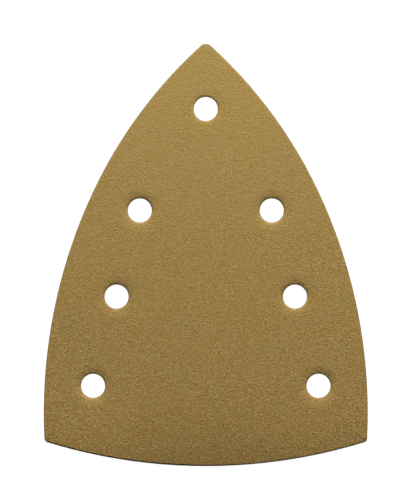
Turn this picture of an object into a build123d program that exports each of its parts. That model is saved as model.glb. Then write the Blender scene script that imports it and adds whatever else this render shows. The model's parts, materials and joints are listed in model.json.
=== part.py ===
from build123d import *
import math
import os

# A hook-and-loop sanding sheet for a detail mouse sander: a pointed, die-cut laminate with seven dust
# holes. It lies flat with its loop side down and its grit side up. The origin is on the loop side, in
# the middle of the outline's box. +Y runs towards the point and +Z out of the grit.

# Outline, in millimetres. Heights run from the lowest point of the rear edge towards the point.
WIDEST_HALF_WIDTH = 52.9      # half of the sheet's greatest width
WIDEST_HEIGHT = 17.5          # height of the greatest width
LOWER_SIDE_RADIUS = 170.0     # long side, from the rear corner to the join
UPPER_SIDE_RADIUS = 151.0     # long side, from the join to the point
SIDE_JOIN_HEIGHT = 90.0       # height where the two side arcs meet smoothly
REAR_EDGE_RADIUS = 176.0
POINT_ROUNDING = 2.4
REAR_CORNER_ROUNDING = 1.3

# Dust holes: the distance of each hole or pair of holes from the axis, and its height
HOLE_DIAMETER = 8.0
FRONT_HOLE = (0.0, 116.8)
UPPER_PAIR = (21.6, 83.6)
MIDDLE_PAIR = (29.2, 55.4)
REAR_PAIR = (36.9, 26.2)

# Layers and their thicknesses, from the loop side to the grit side
LAYERS = (
    ("loop_pile", 0.60),
    ("knit_ground", 0.17),
    ("laminating_glue", 0.08),
    ("backing_paper", 0.24),
    ("make_coat", 0.08),
    ("size_coat", 0.08),
    ("abrasive_grain", 0.12),
)


def side_face():
    """The area right of the axis, inside the long side, which is two arcs that meet smoothly."""
    lower_centre = (WIDEST_HALF_WIDTH - LOWER_SIDE_RADIUS, WIDEST_HEIGHT)
    join_angle = math.asin((SIDE_JOIN_HEIGHT - WIDEST_HEIGHT) / LOWER_SIDE_RADIUS)
    centre_shift = LOWER_SIDE_RADIUS - UPPER_SIDE_RADIUS
    upper_centre = (
        lower_centre[0] + centre_shift * math.cos(join_angle),
        lower_centre[1] + centre_shift * math.sin(join_angle),
    )
    point_angle = math.acos(-upper_centre[0] / UPPER_SIDE_RADIUS)
    start_angle = -math.asin(WIDEST_HEIGHT / LOWER_SIDE_RADIUS)
    lower_arc = CenterArc(
        lower_centre,
        LOWER_SIDE_RADIUS,
        math.degrees(start_angle),
        math.degrees(join_angle - start_angle),
    )
    upper_arc = CenterArc(
        upper_centre,
        UPPER_SIDE_RADIUS,
        math.degrees(join_angle),
        math.degrees(point_angle - join_angle),
    )
    axis_line = Line(upper_arc @ 1, (0, 0))
    rear_line = Line((0, 0), lower_arc @ 0)
    return make_face([lower_arc, upper_arc, axis_line, rear_line])


def corners_by_height(face):
    """The face's corners, from the rear edge to the point."""
    return face.vertices().sort_by(Axis.Y)


def outline_face():
    """The die-cut outline: both sides, cut by the curved rear edge, with its three corners rounded."""
    right = side_face()
    sides = right + mirror(right, about=Plane.YZ)
    rear_disc = Pos(0, REAR_EDGE_RADIUS) * Circle(REAR_EDGE_RADIUS)
    outline = sides & rear_disc
    point = corners_by_height(outline)[-1]
    outline = fillet(point, POINT_ROUNDING)
    rear_corners = corners_by_height(outline)[:2]
    return fillet(rear_corners, REAR_CORNER_ROUNDING)


def dust_holes():
    """The seven round holes, as one sketch."""
    places = [FRONT_HOLE]
    for across, height in (UPPER_PAIR, MIDDLE_PAIR, REAR_PAIR):
        places += [(-across, height), (across, height)]
    return Sketch() + [Pos(*place) * Circle(HOLE_DIAMETER / 2) for place in places]


def centred_sheet():
    """The cut sheet's flat shape, moved so that the middle of its box is at the origin."""
    sheet = outline_face() - dust_holes()
    return Pos(0, -sheet.bounding_box().center().Y) * sheet


def main():
    os.makedirs("parts", exist_ok=True)
    sheet = centred_sheet()
    height = 0.0
    for name, thickness in LAYERS:
        layer = extrude(Pos(0, 0, height) * sheet, thickness)
        export_step(layer, f"parts/{name}.step")
        height += thickness


main()
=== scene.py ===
import json
import math

import bpy
import numpy as np
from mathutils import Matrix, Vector, kdtree
from mathutils.geometry import delaunay_2d_cdt


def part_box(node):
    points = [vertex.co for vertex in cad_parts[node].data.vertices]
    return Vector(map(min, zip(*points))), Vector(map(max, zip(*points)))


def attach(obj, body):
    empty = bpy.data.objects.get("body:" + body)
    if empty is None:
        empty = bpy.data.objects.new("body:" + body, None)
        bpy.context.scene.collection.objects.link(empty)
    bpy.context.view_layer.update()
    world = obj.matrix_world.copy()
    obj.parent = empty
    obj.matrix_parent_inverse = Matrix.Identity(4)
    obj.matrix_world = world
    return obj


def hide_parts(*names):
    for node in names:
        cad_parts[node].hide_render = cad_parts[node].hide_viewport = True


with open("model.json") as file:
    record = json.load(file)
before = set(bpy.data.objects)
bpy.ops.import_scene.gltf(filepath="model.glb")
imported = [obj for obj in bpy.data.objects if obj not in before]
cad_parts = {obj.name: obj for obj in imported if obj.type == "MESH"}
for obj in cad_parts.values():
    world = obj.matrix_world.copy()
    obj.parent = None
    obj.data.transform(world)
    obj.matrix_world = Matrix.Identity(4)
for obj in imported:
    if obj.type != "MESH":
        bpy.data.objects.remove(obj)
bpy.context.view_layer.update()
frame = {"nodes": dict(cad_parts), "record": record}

# A die-cut, hook-and-loop sanding sheet for a detail mouse sander, lying grit side up. The CAD layers
# are flat. Here every layer is bent the way the die leaves it, pressed down at the holes and along the
# outline, and gets its own surface. Lengths are millimetres until a mesh is made.

MM = 0.001

# How the die bends the laminate
ROLL_DEPTH = 0.26            # how far the rear edge is pressed down
ROLL_REACH = 3.0
SIDE_SHARE = 0.25            # the share of that bend at the sides and the point
DIMPLE_DEPTH = 0.46          # how far the edge of a dust hole is pressed down
DIMPLE_REACH = 3.3
FRONT_DIMPLE_SHARE = 0.40    # the share of that dimple at the hole near the point
REAR_SHOULDER = 0.42         # how far the crust is rounded off right at the rear edge
HOLE_SHOULDER = 0.30         # the same at a hole
SHOULDER_REACH = 0.50
SHADOW_LEDGE_WIDTH = 0.48         # how far the grain stops short of the rear edge, baring a strip of dark resin there as painted shadow
SHADOW_LEDGE_RIGHT_SHARE = 0.30           # the share of that width on the right-hand side
SHADOW_LEDGE_FADE = (-5, 15)        # where the width changes, from left to right
WORN_WIDTH = 0.4             # beside every cut, where the grain stands lower

# Mesh fineness
CUT_STEP = 0.45              # between the points along a cut edge
GRAIN_STEP = 0.37            # between grain tips
GRAIN_RELIEF = 0.095         # from the lowest to the highest of them
PILE_STEP = 0.48
PLAIN_STEP = 2.5             # inside faces that only show at their edges
SHOULDER_RINGS = (0.08, 0.18, 0.31, 0.47)
PLAIN_RINGS = (0.12, 0.35, 0.9)

# Loop pile
TUFT_PITCH = 1.2             # along a row of tufts
ROW_PITCH = 1.6
LOOP_SPACING = 1.47
EDGE_LOOP_SPACING = 0.75
LOOP_THICKNESS = 0.11
LOOP_POINTS = 6
LOOP_SIDES = 3
ROOT_DEPTH = 0.05            # how far below the ground fabric a loop starts
FLOOR_GAP = 0.005            # between the tallest loops and whatever the sheet lies on

# Painted light on the grit: lighter patches in the two rear corners
REAR_CORNER = (40, -67)      # the middle of the lighter patch in the right-hand rear corner
CORNER_REACH = 34
LEFT_CORNER_GAIN = 0.18
RIGHT_CORNER_GAIN = 0.09


# ---------------------------------------------------------------- what the frame says

def height_span(node):
    """A flat CAD layer's lower and upper height."""
    low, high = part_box(node)
    return low.z / MM, high.z / MM


PILE_TOP = height_span("loop_pile")[1]
SHEET_TOP = height_span("abrasive_grain")[1]
HOLES = [
    (mount["pos_m"][0] / MM, mount["pos_m"][1] / MM, mount["dims"]["r_mm"])
    for mount in frame["record"]["mounts"]
    if mount["kind"] == "bore"
]
FRONT_HOLE_Y = max(y for _, y, _ in HOLES)


def outline_of(node):
    """The outline of a CAD layer's upper face, anticlockwise."""
    mesh = frame["nodes"][node].data
    place = {v.index: tuple(round(c / MM, 4) for c in v.co) for v in mesh.vertices}
    sides = set()
    for face in mesh.polygons:
        if face.normal.z > 0.9:
            corners = [place[v] for v in face.vertices]
            sides.update(zip(corners, corners[1:] + corners[:1]))
    following = {a: b for a, b in sides if (b, a) not in sides}
    start = min(following, key=lambda p: p[1])
    loop = [start]
    while following[loop[-1]] != start:
        loop.append(following[loop[-1]])
    return np.array(loop)[:, :2]


def evenly(loop, step):
    """The same closed loop with evenly spaced points."""
    closed = np.vstack([loop, loop[:1]])
    along = np.append(0, np.cumsum(np.hypot(*np.diff(closed, axis=0).T)))
    count = round(along[-1] / step)
    at = np.arange(count) * along[-1] / count
    return np.column_stack([np.interp(at, along, closed[:, i]) for i in (0, 1)])


OUTLINE = evenly(outline_of("backing_paper"), 0.06)


def inward(loop):
    """Unit vectors from a cut edge into the sheet: to the left of the way the loop runs."""
    along = np.roll(loop, -1, axis=0) - np.roll(loop, 1, axis=0)
    along /= np.hypot(*along.T)[:, None]
    return np.column_stack([-along[:, 1], along[:, 0]])


# ---------------------------------------------------------------- how the die bends the laminate

def tree_of(points):
    """A search tree of flat points."""
    tree = kdtree.KDTree(len(points))
    for i, (x, y) in enumerate(points):
        tree.insert((x, y, 0), i)
    tree.balance()
    return tree


OUTLINE_TREE = tree_of(OUTLINE)
FACES_REAR = np.clip(inward(OUTLINE)[:, 1], 0, 1)


def gaps(xy):
    """Each point's distance from the outline, how far the outline faces the rear there, and the
    point's distance from the edge of every hole."""
    found = [OUTLINE_TREE.find((x, y, 0)) for x, y in xy]
    to_outline = np.array([distance for _, _, distance in found])
    faces_rear = FACES_REAR[[i for _, i, _ in found]]
    to_holes = [np.hypot(xy[:, 0] - x, xy[:, 1] - y) - r for x, y, r in HOLES]
    return to_outline, faces_rear, to_holes


def nearest_cut(xy):
    """Each point's distance from the outline or the nearest hole's edge."""
    to_outline, _, to_holes = gaps(xy)
    return np.minimum(to_outline, np.min(to_holes, axis=0))


def shoulder(gap, depth):
    """How far the crust is rounded off at this gap from a cut."""
    return depth * np.clip(1 - gap / SHOULDER_REACH, 0, 1) ** 1.5


def bent(points):
    """Flat points of the laminate, moved to where the die leaves them."""
    points = np.array(points, float)
    to_outline, faces_rear, to_holes = gaps(points[:, :2])
    share = SIDE_SHARE + (1 - SIDE_SHARE) * faces_rear
    drop = share * ROLL_DEPTH * np.exp(-to_outline / ROLL_REACH)
    rounded = shoulder(to_outline, share * REAR_SHOULDER)
    for (_, y, _), gap in zip(HOLES, to_holes):
        part = FRONT_DIMPLE_SHARE if y == FRONT_HOLE_Y else 1.0
        drop = drop + part * DIMPLE_DEPTH * np.clip(1 - gap / DIMPLE_REACH, 0, 1) ** 2
        rounded = rounded + shoulder(gap, HOLE_SHOULDER)
    z = points[:, 2]
    in_pile = np.clip(z / PILE_TOP, 0, 1)
    in_crust = np.clip((z - PILE_TOP) / (SHEET_TOP - PILE_TOP), 0, 1)
    points[:, 2] = z - drop * in_pile - rounded * in_crust
    return points


# ---------------------------------------------------------------- flat layouts of points

def cut_loops(step, inset=0.0, rough=0.0, rng=None, rear_inset=0.0):
    """The outline, anticlockwise, and every hole, clockwise, set back into the sheet by inset, give or
    take half of rough. The rear edge is set back by rear_inset more, but by less of it on the right."""
    loops = [evenly(OUTLINE, step)]
    facing_rear = np.clip(inward(loops[0])[:, 1], 0, 1)
    share = np.interp(loops[0][:, 0], SHADOW_LEDGE_FADE, (1, SHADOW_LEDGE_RIGHT_SHARE))
    backs = [inset + rear_inset * facing_rear * share]
    for x, y, r in HOLES:
        count = round(2 * math.pi * r / step)
        turn = -np.arange(count) * 2 * math.pi / count
        loops.append(np.column_stack([x + r * np.cos(turn), y + r * np.sin(turn)]))
        backs.append(np.full(count, inset))
    if rough:
        backs = [back + rng.uniform(-rough / 2, rough / 2, len(back)) for back in backs]
    return [loop + inward(loop) * back[:, None] for loop, back in zip(loops, backs)]


def rings_beside(loops, distances):
    """Points in rows beside the cut edges, each row shifted half a step from the one before."""
    rows = []
    for k, distance in enumerate(distances):
        for loop in loops:
            row = loop + inward(loop) * distance
            rows.append(row if k % 2 else (row + np.roll(row, -1, axis=0)) / 2)
    return np.vstack(rows)


def scattered(step, clear, rng, wander=0.25):
    """Jittered triangular lattice over the sheet, clear of every cut edge."""
    half_width, half_length = np.abs(OUTLINE).max(axis=0)
    row_step = step * math.sqrt(3) / 2
    xs = np.arange(-half_width, half_width, step)
    ys = np.arange(-half_length, half_length, row_step)
    x, y = np.meshgrid(xs, ys)
    x[1::2] += step / 2
    xy = np.column_stack([x.ravel(), y.ravel()])
    xy += rng.uniform(-wander * step, wander * step, xy.shape)
    right = OUTLINE[OUTLINE[:, 0] >= 0]
    right = right[np.argsort(right[:, 1])]
    xy = xy[np.abs(xy[:, 0]) < np.interp(xy[:, 1], right[:, 1], right[:, 0])]
    return xy[nearest_cut(xy) > clear]


def plain_fill(loops, rng):
    """The few points of a face that only shows at its cut edges."""
    return np.vstack([
        rings_beside(loops, PLAIN_RINGS),
        scattered(PLAIN_STEP, PLAIN_RINGS[-1] + PLAIN_STEP / 3, rng),
    ])


def triangles(loops, fill):
    """Triangles over the sheet, between the cut edges, on the loops' points and then fill's."""
    inside_the_outline = 1
    closeness = 1e-5
    points = np.vstack(loops + [fill])
    edges = []
    start = 0
    for loop in loops:
        count = len(loop)
        edges += [(start + i, start + (i + 1) % count) for i in range(count)]
        start += count
    places = [Vector(point) for point in points]
    found = delaunay_2d_cdt(places, edges, [], inside_the_outline, closeness)
    source = np.array([origin[0] for origin in found[3]])
    faces = np.sort(source[np.array(found[2])], axis=1)
    a, b, c = (points[faces[:, i]] for i in range(3))
    turn = (b[:, 0] - a[:, 0]) * (c[:, 1] - a[:, 1]) - (b[:, 1] - a[:, 1]) * (c[:, 0] - a[:, 0])
    # Only a triangle inside a hole joins three points of that hole's loop the way round the loop runs
    in_hole = np.zeros(len(faces), bool)
    start = len(loops[0])
    for loop in loops[1:]:
        on_loop = (faces[:, 0] >= start) & (faces[:, 2] < start + len(loop))
        in_hole |= on_loop & (turn < 0)
        start += len(loop)
    faces[turn < 0] = faces[turn < 0][:, ::-1]
    return points, faces[~in_hole]


def closed_sheet(loops, top_fill, bottom_fill, top_height, bottom_height):
    """Points and triangles of a closed sheet between two height functions, with upright cut edges."""
    top, top_faces = triangles(loops, top_fill)
    bottom, bottom_faces = triangles(loops, bottom_fill)
    points = np.vstack([
        np.column_stack([top, top_height(top)]),
        np.column_stack([bottom, bottom_height(bottom)]),
    ])
    walls = []
    start = 0
    for loop in loops:
        here = np.arange(start, start + len(loop))
        there = np.roll(here, -1)
        under_here, under_there = here + len(top), there + len(top)
        walls.append(np.column_stack([under_here, under_there, there]))
        walls.append(np.column_stack([under_here, there, here]))
        start += len(loop)
    faces = np.vstack([top_faces, bottom_faces[:, ::-1] + len(top)] + walls)
    return points, faces


# ---------------------------------------------------------------- pieces

def make_piece(name, node, points, faces, materials):
    """A mesh piece that stands for one CAD layer."""
    mesh = bpy.data.meshes.new(name)
    mesh.from_pydata((np.asarray(points) * MM).tolist(), [], np.asarray(faces).tolist())
    mesh.validate()
    for material in materials:
        mesh.materials.append(material)
    piece = bpy.data.objects.new(name, mesh)
    bpy.context.scene.collection.objects.link(piece)
    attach(piece, "root")
    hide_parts(node)
    return piece


def level(height):
    """The height function of a flat face."""
    return lambda xy: np.full(len(xy), height)


def plain_layer(name, node, material, inset, rough, rng):
    """A layer that only shows at the cut edges."""
    low, high = height_span(node)
    loops = cut_loops(CUT_STEP, inset, rough, rng)
    fill = plain_fill(loops, rng)
    points, faces = closed_sheet(loops, fill, fill, level(high), level(low))
    return make_piece(name, node, bent(points), faces, [material])


def grain_reliefs(xy, rng):
    """How high the crust stands at each point: from 0 to 1, and lower beside a cut."""
    worn = 0.45 + 0.55 * np.clip(nearest_cut(xy) / WORN_WIDTH, 0, 1)
    return rng.beta(1.3, 1.3, len(xy)) * worn


def grain_layer(material, rng):
    """The abrasive: a crust of sharp facets, with a relief attribute that is 1 on the grain tips and a
    random tone for each facet."""
    low, high = height_span("abrasive_grain")
    # Painted shadow: the crust stops short of the rear edge, so a strip of dark resin shows there,
    # thinner on the right.
    loops = cut_loops(CUT_STEP, 0.0, 0.07, rng, SHADOW_LEDGE_WIDTH)
    grains = np.vstack([
        rings_beside(loops, SHOULDER_RINGS),
        scattered(GRAIN_STEP, SHOULDER_RINGS[-1] + GRAIN_STEP * 0.55, rng),
    ])
    under = plain_fill(loops, rng)
    reliefs = grain_reliefs(np.vstack(loops + [grains]), rng)
    tops = high - GRAIN_RELIEF * (1 - reliefs)
    points, faces = closed_sheet(loops, grains, under, lambda xy: tops, level(low))
    piece = make_piece("grit_crust", "abrasive_grain", bent(points), faces, [material])
    relief = np.zeros(len(points), np.float32)
    relief[: len(reliefs)] = reliefs
    piece.data.attributes.new("relief", "FLOAT", "POINT").data.foreach_set("value", relief)
    tone = rng.uniform(0, 1, len(piece.data.polygons)).astype(np.float32)
    piece.data.attributes.new("tone", "FLOAT", "FACE").data.foreach_set("value", tone)


def tuft_swell(xy):
    """The brushed pile's tufts, in staggered rows: 1 at the middle of a tuft and 0 between rows."""
    x, y = xy.T
    stagger = np.floor(x / ROW_PITCH) % 2 * TUFT_PITCH / 2
    across = np.sin(math.pi * x / ROW_PITCH) ** 2
    along = np.sin(math.pi * (y + stagger) / TUFT_PITCH) ** 2
    return across * (0.6 + 0.4 * along)


def matted_pile(material, rng):
    """The brushed, matted body of the pile: rows of soft tufts on its lower side."""
    low, high = height_span("loop_pile")
    loops = cut_loops(CUT_STEP, 0.05, 0.12, rng)
    fill = np.vstack([
        rings_beside(loops, PLAIN_RINGS[:2]),
        scattered(PILE_STEP, PLAIN_RINGS[1] + PILE_STEP * 0.6, rng),
    ])
    over = plain_fill(loops, rng)

    def tufts(xy):
        fuzz = rng.uniform(0, 1, len(xy))
        return low + (high - low) * (0.70 - 0.30 * tuft_swell(xy) - 0.12 * fuzz)

    points, faces = closed_sheet(loops, over, fill, level(high), tufts)
    piece = make_piece("pile_mat", "loop_pile", bent(points), faces, [material])
    piece.data.shade_smooth()
    return piece


def loop_paths(roots, across, lean, width, height):
    """Centrelines of pile loops: down out of the ground at a root, over and back. One row per loop."""
    turn = np.linspace(0, math.pi, LOOP_POINTS)
    swell = 1 + 0.45 * np.sin(turn) ** 2
    sideways = -np.cos(turn) * swell
    down = np.sin(turn) ** 0.8
    flat = roots[:, None] + across[:, None] * (width[:, None] / 2 * sideways)[..., None]
    flat = flat + lean[:, None] * (down ** 2)[None, :, None]
    z = PILE_TOP - ROOT_DEPTH - height[:, None] * down
    return np.concatenate([flat, z[..., None]], axis=2)


def tubes(paths, radius):
    """Closed tubes of LOOP_SIDES sides along the paths."""
    count, length, _ = paths.shape
    ahead = np.gradient(paths, axis=1)
    ahead /= np.linalg.norm(ahead, axis=2, keepdims=True)
    side = np.cross(paths[:, -1] - paths[:, 0], paths[:, length // 2] - paths[:, 0])
    side /= np.linalg.norm(side, axis=1, keepdims=True)
    side = np.repeat(side[:, None], length, axis=1)
    out = np.cross(side, ahead)
    points = []
    for k in range(LOOP_SIDES):
        turn = 2 * math.pi * k / LOOP_SIDES
        points.append(paths + radius * (math.cos(turn) * out + math.sin(turn) * side))
    points = np.stack(points, axis=2).reshape(-1, 3)
    faces = []
    for p in range(length - 1):
        for k in range(LOOP_SIDES):
            here = p * LOOP_SIDES + k
            beside = p * LOOP_SIDES + (k + 1) % LOOP_SIDES
            faces.append([here, beside, beside + LOOP_SIDES])
            faces.append([here, beside + LOOP_SIDES, here + LOOP_SIDES])
    faces.append([2, 1, 0])
    last = (length - 1) * LOOP_SIDES
    faces.append([last, last + 1, last + 2])
    shift = np.arange(count)[:, None, None] * length * LOOP_SIDES
    return points, (np.array(faces)[None] + shift).reshape(-1, 3)


def directions(angles):
    """Flat unit vectors at these angles."""
    return np.column_stack([np.cos(angles), np.sin(angles)])


def pile_loops(materials, rng):
    """The raised loops of the pile, and those that fray out at the cut edges."""
    roots = scattered(LOOP_SPACING, 0.5, rng, 0.35)
    across = directions(rng.normal(0, 0.5, len(roots)))
    lean = directions(rng.normal(math.pi / 2, 0.6, len(roots))) * rng.uniform(0.1, 0.5, (len(roots), 1))
    for loop in cut_loops(EDGE_LOOP_SPACING):
        into = inward(loop)
        along = np.column_stack([into[:, 1], -into[:, 0]])
        roots = np.vstack([roots, loop + into * rng.uniform(0.1, 0.35, (len(loop), 1))])
        across = np.vstack([across, along])
        lean = np.vstack([lean, -into * rng.uniform(0.0, 0.08, (len(loop), 1))])
    width = rng.uniform(0.6, 1.1, len(roots))
    tallest = PILE_TOP - ROOT_DEPTH - LOOP_THICKNESS / 2 - FLOOR_GAP
    height = rng.uniform(0.7, 1.0, len(roots)) * tallest
    paths = loop_paths(roots, across, lean, width, height)
    points, faces = tubes(paths, LOOP_THICKNESS / 2)
    piece = make_piece("pile_loops", "loop_pile", bent(points), faces, materials)
    shades = rng.integers(0, len(materials), len(paths))
    per_loop = len(faces) // len(paths)
    piece.data.polygons.foreach_set("material_index", np.repeat(shades, per_loop).astype(np.int32))
    piece.data.shade_smooth()
    return piece


# ---------------------------------------------------------------- materials

def new_material(name):
    """A material with an empty node tree, its Principled shader, and its object coordinates."""
    material = bpy.data.materials.new(name)
    material.use_nodes = True
    tree = material.node_tree
    shader = tree.nodes["Principled BSDF"]
    place = tree.nodes.new("ShaderNodeTexCoord").outputs["Object"]
    return material, tree, shader, place


def noise(tree, place, size, detail=2.0, rough=0.5):
    """Smooth noise whose features are about size millimetres wide, from 0 to 1."""
    node = tree.nodes.new("ShaderNodeTexNoise")
    node.inputs["Scale"].default_value = 1 / (size * MM)
    node.inputs["Detail"].default_value = detail
    node.inputs["Roughness"].default_value = rough
    tree.links.new(place, node.inputs["Vector"])
    return node.outputs["Fac"]


def cells(tree, place, size):
    """A random value for each cell about size millimetres wide."""
    node = tree.nodes.new("ShaderNodeTexVoronoi")
    node.inputs["Scale"].default_value = 1 / (size * MM)
    tree.links.new(place, node.inputs["Vector"])
    split = tree.nodes.new("ShaderNodeSeparateColor")
    tree.links.new(node.outputs["Color"], split.inputs[0])
    return split.outputs[0]


def attribute(tree, name):
    """A mesh attribute's value."""
    node = tree.nodes.new("ShaderNodeAttribute")
    node.attribute_name = name
    return node.outputs["Fac"]


def maths(tree, operation, a, b):
    """A maths node on two sockets or numbers."""
    node = tree.nodes.new("ShaderNodeMath")
    node.operation = operation
    for socket, value in zip(node.inputs, (a, b)):
        if isinstance(value, (int, float)):
            socket.default_value = value
        else:
            tree.links.new(value, socket)
    return node.outputs[0]


def weighted(tree, parts):
    """The sum of sockets times their weights."""
    total = 0.0
    for socket, weight in parts:
        total = maths(tree, "ADD", maths(tree, "MULTIPLY", socket, weight), total)
    return total


def ramp(tree, value, stops):
    """A colour ramp over (position, colour) stops."""
    node = tree.nodes.new("ShaderNodeValToRGB")
    elements = node.color_ramp.elements
    while len(elements) < len(stops):
        elements.new(0.5)
    for element, (position, colour) in zip(elements, stops):
        element.position = position
        element.color = (*colour, 1)
    tree.links.new(value, node.inputs[0])
    return node.outputs["Color"]


def between(tree, value, low, high):
    """Maps 0..1 to low..high."""
    node = tree.nodes.new("ShaderNodeMapRange")
    node.inputs["To Min"].default_value = low
    node.inputs["To Max"].default_value = high
    tree.links.new(value, node.inputs["Value"])
    return node.outputs["Result"]


def nearness(tree, place, x, y, reach):
    """1 at a spot of the sheet, falling smoothly to 0 at reach millimetres from it."""
    gap = tree.nodes.new("ShaderNodeVectorMath")
    gap.operation = "DISTANCE"
    tree.links.new(place, gap.inputs[0])
    gap.inputs[1].default_value = (x * MM, y * MM, 0)
    node = tree.nodes.new("ShaderNodeMapRange")
    node.interpolation_type = "SMOOTHSTEP"
    node.inputs["From Max"].default_value = reach * MM
    node.inputs["To Min"].default_value = 1.0
    node.inputs["To Max"].default_value = 0.0
    tree.links.new(gap.outputs["Value"], node.inputs["Value"])
    return node.outputs["Result"]


def multiply_colours(tree, a, b):
    """Two colours multiplied, or a colour by a value."""
    node = tree.nodes.new("ShaderNodeMix")
    node.data_type = "RGBA"
    node.blend_type = "MULTIPLY"
    node.inputs["Factor"].default_value = 1.0
    tree.links.new(a, node.inputs["A"])
    tree.links.new(b, node.inputs["B"])
    return node.outputs["Result"]


def bump(tree, shader, height, depth):
    """Bump of depth millimetres on the shader."""
    node = tree.nodes.new("ShaderNodeBump")
    node.inputs["Strength"].default_value = 1.0
    node.inputs["Distance"].default_value = depth * MM
    tree.links.new(height, node.inputs["Height"])
    tree.links.new(node.outputs["Normal"], shader.inputs["Normal"])


def grain_bump(tree, place):
    """Rounded lumps about a grain wide, with a little finer roughness on them."""
    node = tree.nodes.new("ShaderNodeTexVoronoi")
    node.feature = "SMOOTH_F1"
    node.inputs["Scale"].default_value = 1 / (0.20 * MM)
    node.inputs["Smoothness"].default_value = 0.2
    tree.links.new(place, node.inputs["Vector"])
    lumps = maths(tree, "SUBTRACT", 1.0, node.outputs["Distance"])
    return weighted(tree, [(lumps, 0.8), (noise(tree, place, 0.1, 1.0), 0.3)])


def drifting_tint(tree, place, forward):
    """Soft patches of tint, greener towards the point and redder towards the rear."""
    drift = weighted(tree, [
        (noise(tree, place, 2.2), 0.6),
        (noise(tree, place, 9.0), 0.4),
        (forward, -0.0021 / MM),
    ])
    return ramp(tree, drift, [
        (0.30, (0.97, 1.00, 1.02)),
        (0.50, (0.99, 1.00, 0.99)),
        (0.70, (1.04, 0.98, 0.95)),
    ])


def painted_light_corners(tree, place):
    """What the grit's colour is multiplied by: 1, and a little more in the two rear corners, which is
    painted light.
    """
    x, y = REAR_CORNER
    gain = weighted(tree, [
        (nearness(tree, place, -x, y, CORNER_REACH), LEFT_CORNER_GAIN),
        (nearness(tree, place, x, y, CORNER_REACH), RIGHT_CORNER_GAIN),
    ])
    return maths(tree, "ADD", gain, 1.0)


def grit_material():
    """Alumina grain in resin: gold-brown and speckled grain by grain. Towards the rear its bump is
    deeper and its colour speckle stronger; the stronger speckle is painted shade, standing in for the
    grains' shading under a lamp that rakes lower there."""
    material, tree, shader, place = new_material("alumina_grit")
    split = tree.nodes.new("ShaderNodeSeparateXYZ")
    tree.links.new(place, split.inputs[0])
    forward = split.outputs["Y"]
    # Painted shade: the colour speckle grows stronger towards the rear, where the lamp rakes lower; the
    # bump deepens with it.
    relief_and_painted_shade_contrast = maths(tree, "ADD", maths(tree, "MULTIPLY", forward, -0.009 / MM), 1.16)
    relief = attribute(tree, "relief")
    speckle = weighted(tree, [
        (cells(tree, place, 0.22), 0.60),
        (relief, 0.20),
        (attribute(tree, "tone"), 0.20),
    ])
    speckle = maths(tree, "MULTIPLY", maths(tree, "SUBTRACT", speckle, 0.5), relief_and_painted_shade_contrast)
    grain = ramp(tree, maths(tree, "ADD", speckle, 0.5), [
        (0.00, (0.244, 0.144, 0.029)),
        (0.38, (0.321, 0.203, 0.056)),
        (0.62, (0.356, 0.236, 0.077)),
        (1.00, (0.447, 0.320, 0.134)),
    ])
    # Painted light: the grit's colour is made lighter in the rear corners.
    colour = multiply_colours(tree, grain, painted_light_corners(tree, place))
    colour = multiply_colours(tree, colour, drifting_tint(tree, place, forward))
    tree.links.new(colour, shader.inputs["Base Color"])
    tree.links.new(between(tree, relief, 0.55, 0.80), shader.inputs["Roughness"])
    shader.inputs["Specular IOR Level"].default_value = 0.04
    lumps = maths(tree, "MULTIPLY", grain_bump(tree, place), relief_and_painted_shade_contrast)
    bump(tree, shader, lumps, 0.065)
    return material


def resin_material(name, colour, roughness):
    """Dark brown phenolic resin, seen at the cut edge, with ripples where the die sheared it."""
    material, tree, shader, place = new_material(name)
    dark = tuple(0.6 * c for c in colour)
    tree.links.new(
        ramp(tree, noise(tree, place, 0.5), [(0.3, dark), (0.7, colour)]),
        shader.inputs["Base Color"],
    )
    tree.links.new(
        between(tree, noise(tree, place, 0.3), roughness - 0.1, roughness + 0.15),
        shader.inputs["Roughness"],
    )
    shader.inputs["Specular IOR Level"].default_value = 0.15
    bump(tree, shader, noise(tree, place, 0.2), 0.03)
    return material


def paper_material():
    """Brown abrasive paper: long fibres along the sheet and torn ones at the cut."""
    material, tree, shader, place = new_material("abrasive_paper")
    stretch = tree.nodes.new("ShaderNodeMapping")
    stretch.inputs["Scale"].default_value = (1.0, 0.25, 1.0)
    tree.links.new(place, stretch.inputs["Vector"])
    fibres = noise(tree, stretch.outputs[0], 0.15, 4.0, 0.65)
    tree.links.new(
        ramp(tree, fibres, [(0.25, (0.22, 0.14, 0.07)), (0.75, (0.48, 0.36, 0.22))]),
        shader.inputs["Base Color"],
    )
    tree.links.new(between(tree, fibres, 0.75, 0.95), shader.inputs["Roughness"])
    shader.inputs["Specular IOR Level"].default_value = 0.25
    bump(tree, shader, fibres, 0.05)
    return material


def glue_material():
    """Milky laminating glue."""
    material, tree, shader, place = new_material("laminating_glue")
    tree.links.new(
        ramp(tree, noise(tree, place, 0.8), [(0.3, (0.50, 0.45, 0.34)), (0.7, (0.68, 0.63, 0.50))]),
        shader.inputs["Base Color"],
    )
    tree.links.new(between(tree, noise(tree, place, 0.4), 0.3, 0.5), shader.inputs["Roughness"])
    shader.inputs["Subsurface Weight"].default_value = 0.2
    shader.inputs["Subsurface Scale"].default_value = 0.3 * MM
    bump(tree, shader, noise(tree, place, 0.25), 0.02)
    return material


def knit_material(name, light, dark, size):
    """Off-white nylon knit with a soft sheen."""
    material, tree, shader, place = new_material(name)
    yarn = noise(tree, place, size, 3.0, 0.6)
    tree.links.new(ramp(tree, yarn, [(0.3, dark), (0.7, light)]), shader.inputs["Base Color"])
    tree.links.new(between(tree, yarn, 0.75, 0.95), shader.inputs["Roughness"])
    shader.inputs["Sheen Weight"].default_value = 0.35
    shader.inputs["Sheen Roughness"].default_value = 0.4
    shader.inputs["Specular IOR Level"].default_value = 0.25
    bump(tree, shader, yarn, 0.12)
    return material


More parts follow.
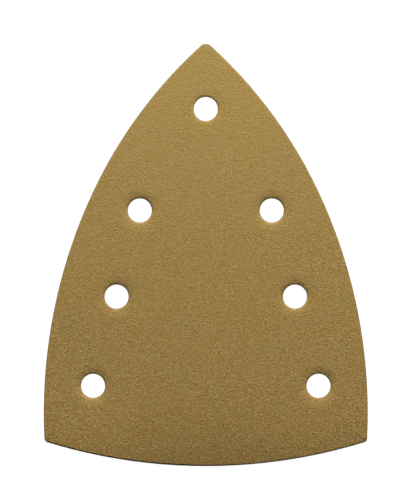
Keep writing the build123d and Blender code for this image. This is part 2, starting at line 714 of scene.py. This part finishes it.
def filament_material(name, colour):
    """One shade of the fine nylon filament of the raised loops."""
    material, _, shader, _ = new_material(name)
    shader.inputs["Base Color"].default_value = (*colour, 1)
    shader.inputs["Roughness"].default_value = 0.5
    shader.inputs["Sheen Weight"].default_value = 0.3
    return material


# ---------------------------------------------------------------- the object

rng = np.random.default_rng(41)
grain_layer(grit_material(), rng)
# Both resins are darker than the resin's own brown, so that the strip bared along the rear edge is a
# painted shadow.
size_resin = resin_material("size_resin", (0.090, 0.058, 0.030), 0.45)
plain_layer("size_resin", "size_coat", size_resin, -0.06, 0.03, rng)
make_resin = resin_material("make_resin", (0.075, 0.045, 0.022), 0.45)
plain_layer("make_resin", "make_coat", make_resin, -0.07, 0.03, rng)
plain_layer("paper_backing", "backing_paper", paper_material(), -0.03, 0.05, rng)
plain_layer("glue_film", "laminating_glue", glue_material(), 0.03, 0.03, rng)
ground_material = knit_material("knit_ground", (0.78, 0.76, 0.70), (0.55, 0.52, 0.46), 0.2)
ground = plain_layer("knit_cloth", "knit_ground", ground_material, 0.02, 0.06, rng)
pile_material = knit_material("brushed_pile", (0.84, 0.82, 0.77), (0.62, 0.60, 0.54), 0.15)
pile = matted_pile(pile_material, rng)
loops = pile_loops([
    filament_material("filament_white", (0.88, 0.87, 0.83)),
    filament_material("filament_cream", (0.82, 0.79, 0.72)),
    filament_material("filament_grey", (0.74, 0.73, 0.70)),
], rng)


# ---------------------------------------------------------------- studio

# Camera
FRAME_HEIGHT = 163.55 * MM       # what the picture's height spans at the sheet's cut edge
FRAME_CENTRE = (0.56 * MM, 1.66 * MM)
EDGE_HEIGHT = 0.8 * MM           # about how high that edge lies
LENS = 85.0
SENSOR = 36.0

# Lighting, in metres and watts
KEY_PLACE = Vector((0.065, 0.56, 0.34))
KEY_SIZE = 0.16
KEY_POWER = 6.86
FLAG_Y = 0.09
FLAG_BOTTOM = 0.098
FLAG_TOP = 0.40
FLAG_HALF_WIDTH = 0.30
TABLE_HALF_WIDTH = 4.0
TABLE_GLOW = 0.97
STUDIO_GLOW = 1.0                # at table height
CEILING_GLOW = 0.11


def add_camera():
    """Straight above the sheet, with the point at the top of the picture."""
    data = bpy.data.cameras.new("camera")
    data.lens = LENS
    data.sensor_width = SENSOR
    camera = bpy.data.objects.new("camera", data)
    distance = FRAME_HEIGHT * LENS / SENSOR
    camera.location = (*FRAME_CENTRE, EDGE_HEIGHT + distance)
    bpy.context.scene.collection.objects.link(camera)
    bpy.context.scene.camera = camera


def add_key_light():
    """A round lamp beyond the point, low enough to rake the grain and aimed at the sheet's middle."""
    data = bpy.data.lights.new("key_softbox", "AREA")
    data.shape = "DISK"
    data.size = KEY_SIZE
    data.energy = KEY_POWER
    light = bpy.data.objects.new("key_softbox", data)
    light.location = KEY_PLACE
    light.rotation_euler = (-KEY_PLACE).to_track_quat("-Z", "Y").to_euler()
    bpy.context.scene.collection.objects.link(light)


def add_card(name, corners):
    """A flat, four-cornered piece of the stage."""
    mesh = bpy.data.meshes.new(name)
    mesh.from_pydata(corners, [], [(0, 1, 2, 3)])
    card = bpy.data.objects.new(name, mesh)
    bpy.context.scene.collection.objects.link(card)
    return card


def add_flag():
    """A card hung between the lamp and the sheet, out of the picture, that softly shades the sheet's
    rear end."""
    flag = add_card("flag", [
        (-FLAG_HALF_WIDTH, FLAG_Y, FLAG_BOTTOM),
        (FLAG_HALF_WIDTH, FLAG_Y, FLAG_BOTTOM),
        (FLAG_HALF_WIDTH, FLAG_Y, FLAG_TOP),
        (-FLAG_HALF_WIDTH, FLAG_Y, FLAG_TOP),
    ])
    flag.visible_camera = False
    flag.visible_diffuse = False
    flag.visible_glossy = False


def add_floor():
    """A wide white table that glows a little, so that shadows on it stay faint."""
    material, _, shader, _ = new_material("white_table")
    shader.inputs["Base Color"].default_value = (0.15, 0.15, 0.15, 1)
    shader.inputs["Roughness"].default_value = 0.9
    shader.inputs["Specular IOR Level"].default_value = 0.0
    shader.inputs["Emission Color"].default_value = (1, 1, 1, 1)
    shader.inputs["Emission Strength"].default_value = TABLE_GLOW
    half = TABLE_HALF_WIDTH
    floor = add_card("floor", [(-half, -half, 0), (half, -half, 0), (half, half, 0), (-half, half, 0)])
    floor.data.materials.append(material)


def add_world():
    """A studio that is white at table height and dim overhead."""
    world = bpy.data.worlds.new("studio")
    bpy.context.scene.world = world
    world.use_nodes = True
    tree = world.node_tree
    place = tree.nodes.new("ShaderNodeTexCoord")
    split = tree.nodes.new("ShaderNodeSeparateXYZ")
    tree.links.new(place.outputs["Generated"], split.inputs[0])
    shade = tree.nodes.new("ShaderNodeMapRange")
    shade.inputs["From Min"].default_value = 0.16
    shade.inputs["From Max"].default_value = 0.30
    shade.inputs["To Min"].default_value = STUDIO_GLOW
    shade.inputs["To Max"].default_value = CEILING_GLOW
    tree.links.new(split.outputs["Z"], shade.inputs["Value"])
    background = tree.nodes["Background"]
    tree.links.new(shade.outputs["Result"], background.inputs["Strength"])
    background.inputs["Color"].default_value = (1, 1, 1, 1)


add_camera()
add_key_light()
add_flag()
add_floor()
add_world()
bpy.context.scene.view_settings.view_transform = "Standard"
